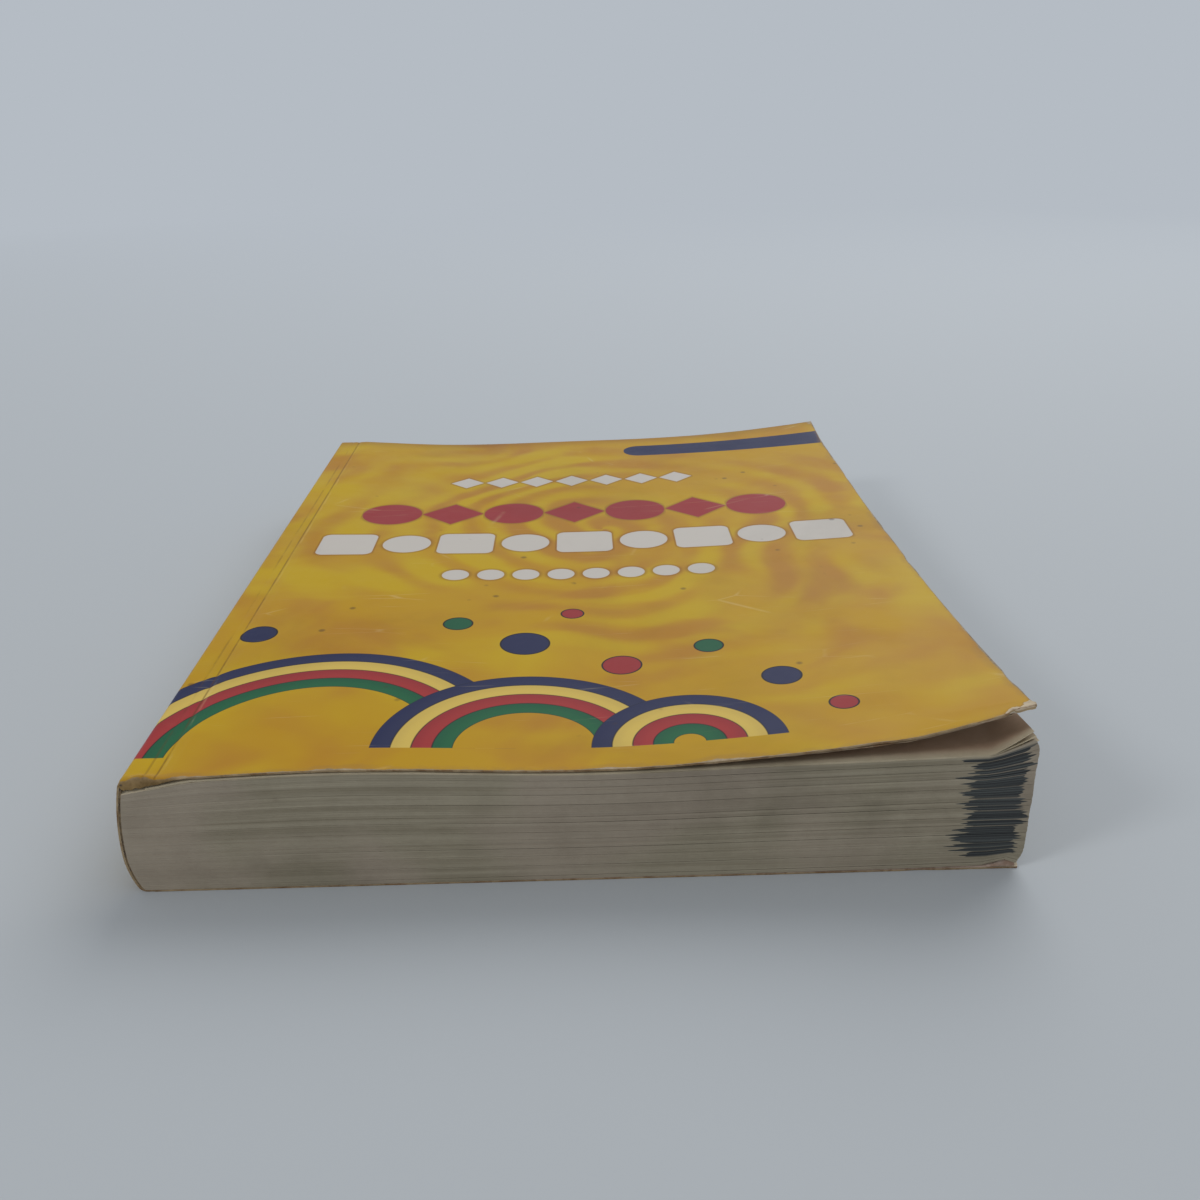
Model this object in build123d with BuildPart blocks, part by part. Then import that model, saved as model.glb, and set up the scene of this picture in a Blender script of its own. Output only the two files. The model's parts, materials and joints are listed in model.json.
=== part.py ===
"""A worn, perfect-bound paperback book, lying on its back cover.

The leaves are trimmed and glued at the back into a sheet of printed card. The card is folded round the
spine, glued to the first and last leaf in a narrow strip, and scored at the inner edge of that strip,
where the front and back covers hinge. The front cover has sprung open at its tail corner.

Frame: +X from the spine to the fore-edge, +Y from the tail to the head, +Z up. The origin is under the
middle of the book, on the surface that it lies on.
"""

import os

from build123d import *

# Trimmed size of the book, in millimetres
trim_width = 189.0
trim_height = 246.0
book_thickness = 27.7

# Card and glue
card_thickness = 0.4
glue_thickness = 0.5

# Bound back: rounded by wear, fullest below the middle of its height
spine_bulge = 2.4
belly_height = 10.0
shoulder_radius = 1.0
foot_radius = 2.0

# Hinge creases: distance from the spine, and the width of the score that parts the moving cover
crease_offset = 7.2
crease_width = 0.3

# Hinge lines: how far outside the card each cover turns, so that it lies flat over the spine when open
front_hinge_relief = 0.6
back_hinge_relief = 0.3

# Air between the first leaf and the front cover
cover_clearance = 0.25

# Top of the leaves at shares of the page width. The tail has been thumbed thick; the head has sunk.
swell_stations = (0.24, 0.50, 0.74, 1.00)
tail_swell = (1.1, -0.5, 0.4, 1.6)
head_swell = (-2.2, -1.8, -1.0, 0.3)

# Spring of the front cover over the leaves at its free edge, at shares of the height from tail to head,
# and the share of the width where it starts to lift at each
lift_shares = (0.0, 0.08, 0.25, 0.50, 0.90, 1.0)
lift_heights = (10.2, 6.6, 3.6, 1.2, 1.6, 3.4)
lift_starts = (0.42, 0.44, 0.50, 0.55, 0.60, 0.60)
lift_steps = 8

# Sizes that follow
middle_x = (trim_width - spine_bulge) / 2
leaves_top = book_thickness - card_thickness
hinge_x = crease_offset + crease_width
end_plane = Plane(origin=(-middle_x, 0, 0), x_dir=(1, 0, 0), z_dir=(0, -1, 0))


def station(share):
    """Plane across the book at a share of the way from the tail to the head."""
    return end_plane.offset(trim_height * (0.5 - share))


def bound_back(inset, setback=0):
    """The bound side up to the crease, inside the card's outer face by inset and moved in by setback."""
    with BuildSketch() as back:
        with BuildLine():
            TangentArc((-spine_bulge, belly_height), (0, book_thickness), tangent=(0, 1))
            TangentArc((-spine_bulge, belly_height), (0, 0), tangent=(0, -1))
            Polyline((0, book_thickness), (trim_width, book_thickness), (trim_width, 0), (0, 0))
        make_face()
        corners = back.vertices().filter_by_position(Axis.X, -0.001, 0.001).sort_by(Axis.Y)
        fillet(corners[0], foot_radius)
        fillet(back.vertices().filter_by_position(Axis.X, -0.001, 0.001), shoulder_radius)
        if inset:
            offset(amount=-inset)
    with BuildSketch() as shape:
        with Locations((setback, 0)):
            add(back.sketch)
        with Locations((crease_offset, 0)):
            Rectangle(
                trim_width, 2 * book_thickness, align=(Align.MAX, Align.CENTER), mode=Mode.INTERSECT
            )
    return shape.sketch


def top_of_leaves(share):
    """Points along the top of the leaves, from the crease to the fore-edge."""
    rises = [tail + (head - tail) * share for tail, head in zip(tail_swell, head_swell)]
    points = [(trim_width * x, leaves_top + rise) for x, rise in zip(swell_stations, rises)]
    return [(crease_offset, leaves_top)] + points


def leaves_face(share):
    """Face of the leaves cut across at a share of the height: their glued back, then the open part."""
    with BuildSketch() as face:
        with BuildLine():
            top = Spline(top_of_leaves(share))
            Polyline(
                top @ 1,
                (trim_width, card_thickness),
                (crease_offset, card_thickness),
                (crease_offset, leaves_top),
            )
        make_face()
        add(bound_back(card_thickness, glue_thickness))
    return face.sketch


def cover_face(share, height, start):
    """Face of the front cover cut across at a share of the height, height over the leaves at its edge."""
    with BuildSketch() as face:
        with BuildLine():
            leaves = Spline(top_of_leaves(share), mode=Mode.PRIVATE)
            low = [Vector(hinge_x, leaves_top + cover_clearance)]
            for step in range(1, lift_steps + 1):
                along = step / lift_steps
                spring = (max(0, along - start) / (1 - start)) ** 2
                low.append(leaves @ along + Vector(0, cover_clearance + height * spring))
            under = Spline(low)
            over = Spline([point + Vector(0, card_thickness) for point in low])
            Line(under @ 0, over @ 0)
            Line(under @ 1, over @ 1)
        make_face()
    return face.sketch


with BuildPart() as text_block:
    for share in (0, 1):
        with BuildSketch(station(share)):
            add(leaves_face(share))
    loft(ruled=True)
text_block.part.label = "text_block"

with BuildPart() as spine_glue:
    with BuildSketch(station(0.5)):
        add(bound_back(card_thickness))
        add(bound_back(card_thickness, glue_thickness), mode=Mode.SUBTRACT)
    extrude(amount=trim_height / 2, both=True)
spine_glue.part.label = "spine_glue"

with BuildPart() as spine_cover:
    with BuildSketch(station(0.5)):
        add(bound_back(0))
        add(bound_back(card_thickness), mode=Mode.SUBTRACT)
    extrude(amount=trim_height / 2, both=True)
spine_cover.part.label = "spine_cover"

with BuildPart() as front_cover:
    for share, height, start in zip(lift_shares, lift_heights, lift_starts):
        with BuildSketch(station(share)):
            add(cover_face(share, height, start))
    loft()
front_cover.part.label = "front_cover"

with BuildPart() as back_cover:
    with BuildSketch(station(0.5)):
        with Locations((hinge_x, 0)):
            Rectangle(trim_width - hinge_x, card_thickness, align=(Align.MIN, Align.MIN))
    extrude(amount=trim_height / 2, both=True)
back_cover.part.label = "back_cover"

print("front hinge x, z:", crease_offset - middle_x, book_thickness + front_hinge_relief)
print("back hinge x, z:", crease_offset - middle_x, -back_hinge_relief)

os.makedirs("parts", exist_ok=True)
export_step(text_block.part, "parts/text_block.step")
export_step(spine_glue.part, "parts/spine_glue.step")
export_step(spine_cover.part, "parts/spine_cover.step")
export_step(front_cover.part, "parts/front_cover.step")
export_step(back_cover.part, "parts/back_cover.step")
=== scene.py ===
import json
import math
import random

import bmesh
import bpy
from mathutils import Euler, Matrix, Vector, noise


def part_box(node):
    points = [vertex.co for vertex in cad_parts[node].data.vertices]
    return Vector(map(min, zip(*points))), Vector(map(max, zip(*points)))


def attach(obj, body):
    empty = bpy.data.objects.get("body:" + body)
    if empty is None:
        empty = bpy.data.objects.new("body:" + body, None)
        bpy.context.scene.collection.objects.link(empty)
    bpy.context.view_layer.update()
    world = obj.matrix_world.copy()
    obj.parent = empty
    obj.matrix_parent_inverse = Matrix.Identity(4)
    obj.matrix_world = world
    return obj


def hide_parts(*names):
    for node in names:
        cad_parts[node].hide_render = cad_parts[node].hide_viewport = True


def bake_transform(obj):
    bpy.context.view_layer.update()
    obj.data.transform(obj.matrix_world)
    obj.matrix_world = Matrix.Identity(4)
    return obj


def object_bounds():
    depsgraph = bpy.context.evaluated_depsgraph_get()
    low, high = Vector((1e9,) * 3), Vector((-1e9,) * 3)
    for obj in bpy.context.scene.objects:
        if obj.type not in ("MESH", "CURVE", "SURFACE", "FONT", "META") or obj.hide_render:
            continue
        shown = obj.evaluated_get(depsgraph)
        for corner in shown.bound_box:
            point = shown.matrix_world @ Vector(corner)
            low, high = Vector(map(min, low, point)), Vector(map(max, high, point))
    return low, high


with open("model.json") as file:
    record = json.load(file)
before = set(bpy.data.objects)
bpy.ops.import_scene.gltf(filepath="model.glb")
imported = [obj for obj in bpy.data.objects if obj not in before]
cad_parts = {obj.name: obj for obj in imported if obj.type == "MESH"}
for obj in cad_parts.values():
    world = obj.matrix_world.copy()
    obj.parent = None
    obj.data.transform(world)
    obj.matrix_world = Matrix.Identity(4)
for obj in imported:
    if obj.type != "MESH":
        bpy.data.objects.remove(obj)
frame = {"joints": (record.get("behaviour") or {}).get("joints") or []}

cad_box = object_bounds()

# ------------------------------------------------------------------------------
# The leaves: some 270 sheets of off-white paper, trimmed together on three sides and glued at the back.
# Thumbing has swelled them at the tail, opened gaps between them and turned up the corner of the first
# ones. A strip of marker ink crosses their tail edges near the fore-edge.
# ------------------------------------------------------------------------------
MM = 0.001
leaves_low, leaves_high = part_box("text_block")
spine_low, spine_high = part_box("spine_cover")
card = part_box("back_cover")[1].z
hinges = {joint["name"]: Vector(joint["pos_m"]) for joint in frame["joints"]}
tail_y, head_y = leaves_low.y, leaves_high.y
fore_x = leaves_high.x
crease_x = hinges["front_cover_hinge"].x
book_top = spine_high.z
page_height = head_y - tail_y

spine_bulge = 2.4 * MM
belly_height = 10 * MM
shoulder_radius = 1 * MM
foot_radius = 2 * MM
glue = 0.5 * MM
shoulder_x = spine_low.x + spine_bulge
page_width = fore_x - shoulder_x

bundles = 60
leaves_across = 72
leaves_along = 58
loose_leaves = 3
leaf_pitch = 0.11 * MM
turned_width = 9.5 * MM
block_corner_rise = 3.4 * MM
crush_depth = 2.4 * MM


def back_arcs():
    """Arcs of the card's outer face round the back: centre x and z, radius, first and last angle.
    Angles turn from 0, facing up at the shoulder, to a half turn, facing down at the foot."""
    upper = ((book_top - belly_height) ** 2 + spine_bulge**2) / (2 * spine_bulge)
    lower = (belly_height**2 + spine_bulge**2) / (2 * spine_bulge)
    over = math.acos((book_top - belly_height - shoulder_radius) / (upper - shoulder_radius))
    under = math.acos((foot_radius - belly_height) / (lower - foot_radius))
    upper_x, lower_x = spine_low.x + upper, spine_low.x + lower
    shoulder_at = upper_x - (upper - shoulder_radius) * math.sin(over)
    foot_at = lower_x - (lower - foot_radius) * math.sin(under)
    return (
        (shoulder_at, book_top - shoulder_radius, shoulder_radius, 0, over),
        (upper_x, belly_height, upper, over, math.pi / 2),
        (lower_x, belly_height, lower, math.pi / 2, under),
        (foot_at, foot_radius, foot_radius, under, math.pi),
    )


spine_arcs = back_arcs()


def back_at(z, inset):
    """How far out the bound back reaches at a height, inset from the card's outer face."""
    for centre_x, centre_z, radius, first, last in spine_arcs:
        if z >= centre_z + (radius - inset) * math.cos(last) or last == math.pi:
            lean = (z - centre_z) / (radius - inset)
            return centre_x - (radius - inset) * math.sin(math.acos(max(-1, min(1, lean))))


def smooth_through(stops, values, at):
    """Value at a place between stops, on a curve with no corners through all the values."""
    at = max(stops[0], min(stops[-1], at))
    i = max(k for k in range(len(stops) - 1) if stops[k] <= at)
    span = stops[i + 1] - stops[i]
    slopes = []
    for k in (i, i + 1):
        before, after = max(0, k - 1), min(len(stops) - 1, k + 1)
        slopes.append((values[after] - values[before]) / (stops[after] - stops[before]) * span)
    t = (at - stops[i]) / span
    rise = values[i + 1] - values[i]
    return values[i] + slopes[0] * t + (3 * rise - 2 * slopes[0] - slopes[1]) * t**2 + (
        slopes[0] + slopes[1] - 2 * rise
    ) * t**3


swell_stops = (0.038, 0.24, 0.50, 0.74, 1.0)
tail_swell = (0, 1.1 * MM, -0.5 * MM, 0.4 * MM, 1.6 * MM)
head_swell = (0, -2.2 * MM, -1.8 * MM, -1.0 * MM, 0.3 * MM)


def top_of_leaves(x, y):
    """Height of the first leaf over a place on the page, before its corner turns up."""
    across, along = (x - shoulder_x) / page_width, (y - tail_y) / page_height
    tail = smooth_through(swell_stops, tail_swell, across)
    head = smooth_through(swell_stops, head_swell, across)
    return book_top - card + tail + (head - tail) * along


def turned_corner(x, y):
    """Share, from 0 to 1, of the turned-up corner's height over a place on the page."""
    fold_x = fore_x - turned_width + (y - tail_y) * 0.22
    out = max(0, x - fold_x) / turned_width
    return min(1.1, out) * max(0, 1 - (y - tail_y) / (42 * MM))


def crushed_corner(x, y):
    """How far the spine's tail corner has been knocked down at a place on the page."""
    along = min(1, max(0, (x - shoulder_x) / (15 * MM)))
    return crush_depth * (1 - along) ** 1.2 * math.exp(-(((y - tail_y) / (3.5 * MM)) ** 2))


def split_height(x, y):
    """How far the inner ply of the back card has curled up off it at its split tail edge."""
    along = (x - shoulder_x) / page_width
    bow = smooth_through((0, 0.45, 0.83, 0.93, 0.965, 0.979, 0.99, 1.0),
                         (0, 0, 0.12, 0.30, 0.55, 1.5, 1.55, 0.7), along)
    inwards = (y - tail_y) / MM
    return bow * MM * (inwards / 0.6 if inwards < 0.6 else math.exp(-((inwards - 0.6) / 2.2)))


def edge_noise(x, y, seed, size):
    """Smooth unevenness from -1 to 1 along the edges of the leaves, size across."""
    return noise.noise(Vector((x / size, y / size, seed * 7.31)))


def new_piece(name, bm, materials):
    """Object of a finished bmesh, with its materials in slot order."""
    mesh = bpy.data.meshes.new(name)
    bm.to_mesh(mesh)
    bm.free()
    for material in materials:
        mesh.materials.append(material)
    piece = bpy.data.objects.new(name, mesh)
    bpy.context.scene.collection.objects.link(piece)
    return piece


class Value:
    """A shader value from a socket. Sums written with it become Math nodes."""

    def __init__(self, nodes, socket):
        self.nodes, self.socket = nodes, socket

    def __add__(self, other):
        return self.nodes.math("ADD", self, other)

    def __sub__(self, other):
        return self.nodes.math("SUBTRACT", self, other)

    def __rsub__(self, other):
        return self.nodes.math("SUBTRACT", other, self)

    def __mul__(self, other):
        return self.nodes.math("MULTIPLY", self, other)

    def __truediv__(self, other):
        return self.nodes.math("DIVIDE", self, other)

    def __abs__(self):
        return self.nodes.math("ABSOLUTE", self)

    def between(self, low, high, to_low=0.0, to_high=1.0):
        """Stretched from one range to another, smoothly, and held at its ends."""
        inputs = {"Value": self, 1: low, 2: high, 3: to_low, 4: to_high}
        return self.nodes.value("MapRange", "Result", inputs, interpolation_type="SMOOTHSTEP")


class Nodes:
    """Short ways to add shader nodes to a tree. Inputs are numbers, colours or the values of others."""

    def __init__(self, tree):
        self.tree = tree

    def feed(self, value, socket):
        if isinstance(value, Value):
            self.tree.links.new(value.socket, socket)
        else:
            socket.default_value = value

    def values(self, sockets):
        """Values of a node's outputs, by name."""
        return {socket.name: Value(self, socket) for socket in sockets}

    def add(self, kind, inputs=None, **settings):
        made = self.tree.nodes.new("ShaderNode" + kind)
        for name, value in settings.items():
            setattr(made, name, value)
        for name, value in (inputs or {}).items():
            self.feed(value, made.inputs[name])
        return made

    def value(self, kind, output, inputs=None, **settings):
        """Value of one output, by name or number, of an added node."""
        return Value(self, self.add(kind, inputs, **settings).outputs[output])

    def math(self, operation, a, b=0.0, clamp=False):
        return self.value("Math", 0, {0: a, 1: b}, operation=operation, use_clamp=clamp)

    def larger(self, a, b):
        return self.math("MAXIMUM", a, b)

    def length(self, a, b):
        return self.math("SQRT", a * a + b * b)

    def noise(self, place, scale, detail=3.0, roughness=0.5, distortion=0.0):
        inputs = {
            "Vector": place, "Scale": scale, "Detail": detail,
            "Roughness": roughness, "Distortion": distortion,
        }
        return self.value("TexNoise", "Fac", inputs)

    def mix(self, share, a, b, blend="MIX"):
        return self.value("Mix", 2, {0: share, 6: a, 7: b}, data_type="RGBA", blend_type=blend)

    def stretched(self, place, factors, shift=(0, 0, 0)):
        return self.value("Mapping", 0, {"Vector": place, "Scale": factors, "Location": shift})

    def parts(self, place):
        return self.values(self.add("SeparateXYZ", {0: place}).outputs).values()

    def joined(self, x=0.0, y=0.0, z=0.0):
        return self.value("CombineXYZ", 0, {0: x, 1: y, 2: z})

    def group(self, group, **inputs):
        """A placed group's outputs. Inputs are named as its sockets, with _ for each space."""
        inputs = {name.replace("_", " "): value for name, value in inputs.items()}
        made = self.add("Group")
        made.node_tree = group
        for name, value in inputs.items():
            self.feed(value, made.inputs[name])
        return self.values(made.outputs)

    def seen_ray(self):
        """1 for what the camera sees, straight, in a mirror or through something clear."""
        rays = self.values(self.add("LightPath").outputs)
        seen = self.larger(rays["Is Camera Ray"], rays["Is Glossy Ray"])
        return self.larger(seen, rays["Is Transmission Ray"])

    def finish(self, shader, tone, height, strength, depth, roughness):
        """Joins up a surface: its colour, a bump of some strength and depth, and its roughness."""
        bump = self.value("Bump", 0, {"Height": height, "Strength": strength, "Distance": depth})
        self.feed(tone, shader.inputs["Base Color"])
        self.feed(bump, shader.inputs["Normal"])
        self.feed(roughness, shader.inputs["Roughness"])


def colour(red, green, blue):
    """Linear colour, with alpha, of one written as a screen shows it, from 0 to 255."""
    def linear(value):
        value /= 255
        return value / 12.92 if value <= 0.04045 else ((value + 0.055) / 1.055) ** 2.4
    return (linear(red), linear(green), linear(blue), 1)


def new_group(name, inputs, outputs):
    """Shader group with named sockets, and the socket lists of its two ends."""
    group = bpy.data.node_groups.new(name, "ShaderNodeTree")
    for way, sockets in (("INPUT", inputs), ("OUTPUT", outputs)):
        for label, kind in sockets:
            group.interface.new_socket(label, in_out=way, socket_type="NodeSocket" + kind)
    nodes = Nodes(group)
    start = nodes.values(group.nodes.new("NodeGroupInput").outputs)
    end = group.nodes.new("NodeGroupOutput").inputs
    return group, nodes, start, end


def new_material(name):
    """Material with its Principled shader joined up, and the helper for its tree."""
    material = bpy.data.materials.new(name)
    material.use_nodes = True
    nodes = Nodes(material.node_tree)
    shader = material.node_tree.nodes["Principled BSDF"]
    return material, nodes, shader


def paper_fibre_group():
    """Uneven pulp, as in any uncoated paper or card: a tone that varies and a fine felt of fibres."""
    group, nodes, start, end = new_group(
        "paper fibre",
        (("Place", "Vector"), ("Colour", "Color"), ("Mottle", "Float")),
        (("Colour", "Color"), ("Height", "Float")),
    )
    cloud = nodes.noise(start["Place"], 140, 4, 0.6)
    specks = nodes.noise(start["Place"], 900, 3, 0.7)
    felt = nodes.noise(nodes.stretched(start["Place"], (1, 2.3, 1)), 2600, 2, 0.6)
    tone = cloud * 0.65 + specks * 0.35
    shade = tone.between(0.35, 0.65)
    dark = nodes.mix(start["Mottle"], start["Colour"], fibre_shade, "MULTIPLY")
    nodes.feed(nodes.mix(shade, dark, start["Colour"]), end["Colour"])
    nodes.feed(felt + cloud * 0.6, end["Height"])
    return group


def grime_group():
    """Handling dirt: soft grey-brown smudges, with small dark specks here and there."""
    group, nodes, start, end = new_group(
        "handling grime",
        (("Place", "Vector"), ("Colour", "Color"), ("Smudge", "Float"), ("Specks", "Float")),
        (("Colour", "Color"),),
    )
    broad = nodes.noise(start["Place"], 22, 5, 0.62, 0.4).between(0.48, 0.72)
    smudge = broad * start["Smudge"]
    fleck = nodes.value("TexVoronoi", "Distance", {"Vector": start["Place"], "Scale": 130.0})
    rare = nodes.noise(start["Place"], 55, 2).between(0.56, 0.62)
    speck = fleck.between(0.16, 0.06) * rare * start["Specks"]
    dirty = nodes.mix(smudge, start["Colour"], grime_smudge, "MULTIPLY")
    nodes.feed(nodes.mix(speck, dirty, grime_speck), end["Colour"])
    return group


fibre_shade = colour(120, 104, 80)
grime_smudge = colour(98, 84, 62)
grime_speck = colour(70, 52, 34)
paper_fibre = paper_fibre_group()
handling_grime = grime_group()
page_colour = colour(205, 198, 178)
page_yellowed = colour(190, 172, 138)
# Painted shade: the reddish tan of the shaded gap under the cover, laid on the leaves near the tail
page_gap_shade = colour(176, 144, 120)
leaf_edge_light = colour(164, 155, 134)
leaf_edge_dark = colour(138, 129, 108)
leaf_edge_rosy = colour(168, 154, 138)
# Painted shade for the open gaps between leaves
leaf_gap_shade = colour(84, 76, 58)
ink_colour = colour(30, 36, 41)
ink_faded = colour(82, 88, 88)
# The strip's two edges, in millimetres from the fore-edge, and its large and small spikes: how many of
# them up the block, their seed, and how far they run past the inner and the outer edge
ink_inner, ink_outer = 11.0, 3.5
ink_spikes = ((15.3, 1.7, 4.2, 2.6), (47.0, 5.3, 2.0, 1.5))


def page_material():
    """Printed-book paper seen flat: uncoated, off-white, aged to yellow towards its trimmed edges, with
    painted shade a few millimetres in from the tail, where the gap under the cover lies in shade.
    """
    material, nodes, shader = new_material("page paper")
    place = nodes.value("TexCoord", "Object")
    x, y, _ = nodes.parts(place)
    rim_x = x.between(fore_x - 14 * MM, fore_x)
    rim_y = abs(y).between(head_y - 12 * MM, head_y)
    rim = nodes.larger(rim_x, rim_y) * 0.55
    aged_and_gap_shaded = nodes.mix(rim, page_colour, page_yellowed)
    # Painted shade: reddish tan from about 4 to 10 mm in from the tail, fading to a faint tint by 60 mm, for
    # the shaded gap under the cover
    gap_shade = y.between(tail_y + 0.3 * MM, tail_y + 4 * MM, 0.0, 0.8)
    gap_shade = gap_shade * y.between(tail_y + 10 * MM, tail_y + 60 * MM, 1.0, 0.1)
    aged_and_gap_shaded = nodes.mix(gap_shade, aged_and_gap_shaded, page_gap_shade)
    pulp = nodes.group(paper_fibre, Place=place, Colour=aged_and_gap_shaded, Mottle=0.12)
    dirty = nodes.group(handling_grime, Place=place, Colour=pulp["Colour"], Smudge=rim * 0.7, Specks=0.4)
    nodes.finish(shader, dirty["Colour"], pulp["Height"], strength=0.12, depth=0.05 * MM, roughness=0.88)
    return material


def ink_strip(nodes, x, y, level):
    """Marker ink across the tail edges: lens-shaped bands, each as long as its few leaves drank it."""
    across = (fore_x - x) / MM
    left, right = ink_inner, ink_outer
    seams = []
    for count, seed, left_reach, right_reach in ink_spikes:
        drift = nodes.noise(nodes.joined(level * 9.0, seed, 0.0), 1.0, 1)
        place = level * count + drift * 2.4
        band = nodes.math("FLOOR", place)
        from_middle = abs(nodes.math("FRACT", place) * 2.0 - 1.0)
        point = nodes.math("POWER", 1.0 - from_middle, 0.8)
        spikes = []
        for side, reach in ((4.0, left_reach), (5.0, right_reach)):
            luck = nodes.value("TexWhiteNoise", "Value", {"Vector": nodes.joined(band, seed, side)})
            spikes.append(point * ((luck + 0.25) * reach))
        left = spikes[0] + left
        right = right - spikes[1]
        seams.append(point.between(0.34, 0.10) * luck.between(0.15, 0.4))
    within = (left - across).between(0.0, 0.35) * (across - right).between(0.0, 0.35)
    rows = level.between(0.085, 0.10) * level.between(0.995, 0.975)
    on_tail = y.between(tail_y + 2.5 * MM, tail_y + 1.4 * MM)
    solid = 1.0 - seams[0] * 0.75
    return within * rows * (on_tail * solid)


def leaf_edge_material():
    """The trimmed edges of many leaves: fine bands that follow each leaf, painted shade in the open gaps
    between them, grime and ink.
    """
    material, nodes, shader = new_material("leaf edges")
    place = nodes.value("TexCoord", "Object")
    level = nodes.value("Attribute", "Fac", attribute_name="leaf_level")
    gap = nodes.value("Attribute", "Fac", attribute_name="leaf_gap")
    x, y, _ = nodes.parts(place)
    along_leaf = nodes.joined(x * 9.0, y * 9.0, level * 120.0)
    leaf = nodes.noise(along_leaf, 1.0, 3, 0.75)
    bundle = nodes.noise(nodes.stretched(along_leaf, (1.3, 1.3, 0.2)), 1.0, 2, 0.5)
    ragged = nodes.noise(nodes.stretched(along_leaf, (30, 30, 1)), 1.0, 2, 0.6)
    band = leaf * 0.34 + bundle * 0.52 + ragged * 0.14
    paper = nodes.mix(band.between(0.34, 0.66), leaf_edge_dark, leaf_edge_light)
    rosy = nodes.noise(place, 26, 2, 0.5).between(0.42, 0.62, 0.0, 0.6)
    paper = nodes.mix(rosy, paper, leaf_edge_rosy)
    pulp = nodes.group(paper_fibre, Place=place, Colour=paper, Mottle=0.10)
    dirty = nodes.group(handling_grime, Place=place, Colour=pulp["Colour"], Smudge=0.22, Specks=0.35)
    torn = ragged.between(0.35, 0.6, 0.55, 1.0)
    # Painted shade: the open gaps between leaves darkened, raggedly, where shade falls in them
    gap_shaded = nodes.mix(gap.between(0.25, 1.0, 0.0, 0.85) * torn, dirty["Colour"], leaf_gap_shade)
    streaks = nodes.noise(nodes.stretched(along_leaf, (2.5, 2.5, 1.4), (3.1, 0, 0.7)), 1.0, 2, 0.6)
    tone = nodes.mix(streaks.between(0.44, 0.68), ink_colour, ink_faded)
    inked = nodes.mix(ink_strip(nodes, x, y, level) * 0.95, gap_shaded, tone)
    height = leaf + pulp["Height"] * 0.25
    nodes.finish(shader, inked, height, strength=0.3, depth=0.06 * MM, roughness=0.85)
    return material


page_paper = page_material()
leaf_edges = leaf_edge_material()


def text_block_mesh():
    """The pressed leaves: a cube cut into bundles, with a groove between each two, shaped as a block."""
    draw = random.Random(11)
    weights = [draw.uniform(0.6, 1.4) for _ in range(bundles)]
    floors = [sum(weights[:i]) / sum(weights) for i in range(bundles + 1)]
    ragged = [draw.uniform(0, 0.05) * MM for _ in range(bundles)]
    open_gaps = {b + draw.choice((-1, 0, 1)): draw.uniform(0.35, 1.0) for b in range(3, bundles - 1, 5)}

    bm = bmesh.new()
    bmesh.ops.create_cube(bm, size=1)
    for axis, cuts in enumerate((leaves_across, leaves_along, 4 * bundles - 2)):
        rails = [e for e in bm.edges if abs((e.verts[0].co - e.verts[1].co)[axis]) > 0.5]
        bmesh.ops.subdivide_edges(bm, edges=rails, cuts=cuts, use_grid_fill=True)
    level_layer = bm.verts.layers.float.new("leaf_level")
    gap_layer = bm.verts.layers.float.new("leaf_gap")

    bottom = card + 0.10 * MM
    for vert in bm.verts:
        across, along, up = (value + 0.5 for value in vert.co)
        row = round(up * (4 * bundles - 1))
        bundle, part = divmod(row, 4)
        x = shoulder_x + page_width * across
        y = tail_y + page_height * along
        boundary = bundle + (part > 1)
        share = floors[boundary]
        freed = min(1, max(0.12, (x - shoulder_x - 18 * MM) / (60 * MM)))
        drift = edge_noise(x, y, boundary, 60 * MM)
        opened = open_gaps.get(boundary, 0) * freed * min(1, max(0, 0.75 + 0.9 * drift))
        near_top = max(0, (share - 0.60) / 0.40) ** 1.5
        gap = (0.02 + 0.13 * opened) * MM
        corner = turned_corner(x, y)
        swell = 0.05 * MM * freed * (1 + noise.noise(Vector((x * 14, y * 14, share * 24))))
        depth = (0.02 + 0.5 * opened) * MM + ragged[bundle] + 0.35 * MM * near_top * corner
        top = top_of_leaves(x, y) - loose_leaves * leaf_pitch
        sway = 0.12 * MM * edge_noise(x, y, 3.3, 35 * MM) * math.sin(math.pi * share)
        z = bottom + (top - bottom) * share + sway + (gap / 2 if part < 2 else -gap / 2)
        z = max(bottom, z) + block_corner_rise * corner * near_top - crushed_corner(x, y) * share**6
        z += split_height(x, max(y, tail_y + 0.6 * MM)) * max(0, 1 - share / 0.35) ** 2 * 1.12
        inset = (depth if part in (0, 3) else ragged[bundle]) + swell
        pull_in = 1.3 * MM * max(0, 1 - share / 0.18) ** 2
        pull_in += 1.1 * MM * corner * max(0, (share - 0.93) / 0.07) ** 2
        pull_in += 0.12 * MM * (1 + noise.noise(Vector((share * 9, 0.4, y * 9))))
        back_x = back_at(z, card) + glue
        end_x = fore_x - pull_in - (inset if across > 0.999 else 0)
        x = back_x + (end_x - back_x) * across
        if along < 0.001:
            y += inset
        elif along > 0.999:
            y -= inset
        vert.co = (x, y, z)
        vert[level_layer] = share
        vert[gap_layer] = opened if part in (0, 3) else 0
    bmesh.ops.remove_doubles(bm, verts=bm.verts[:], dist=0.001 * MM)
    for face in bm.faces:
        face.material_index = 1 if abs(face.normal.z) > 0.9 and face.calc_area() > 4e-6 else 0
    return bm


text_block = new_piece("text_block_leaves", text_block_mesh(), (leaf_edges, page_paper))
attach(text_block, "block")
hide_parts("text_block")


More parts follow.
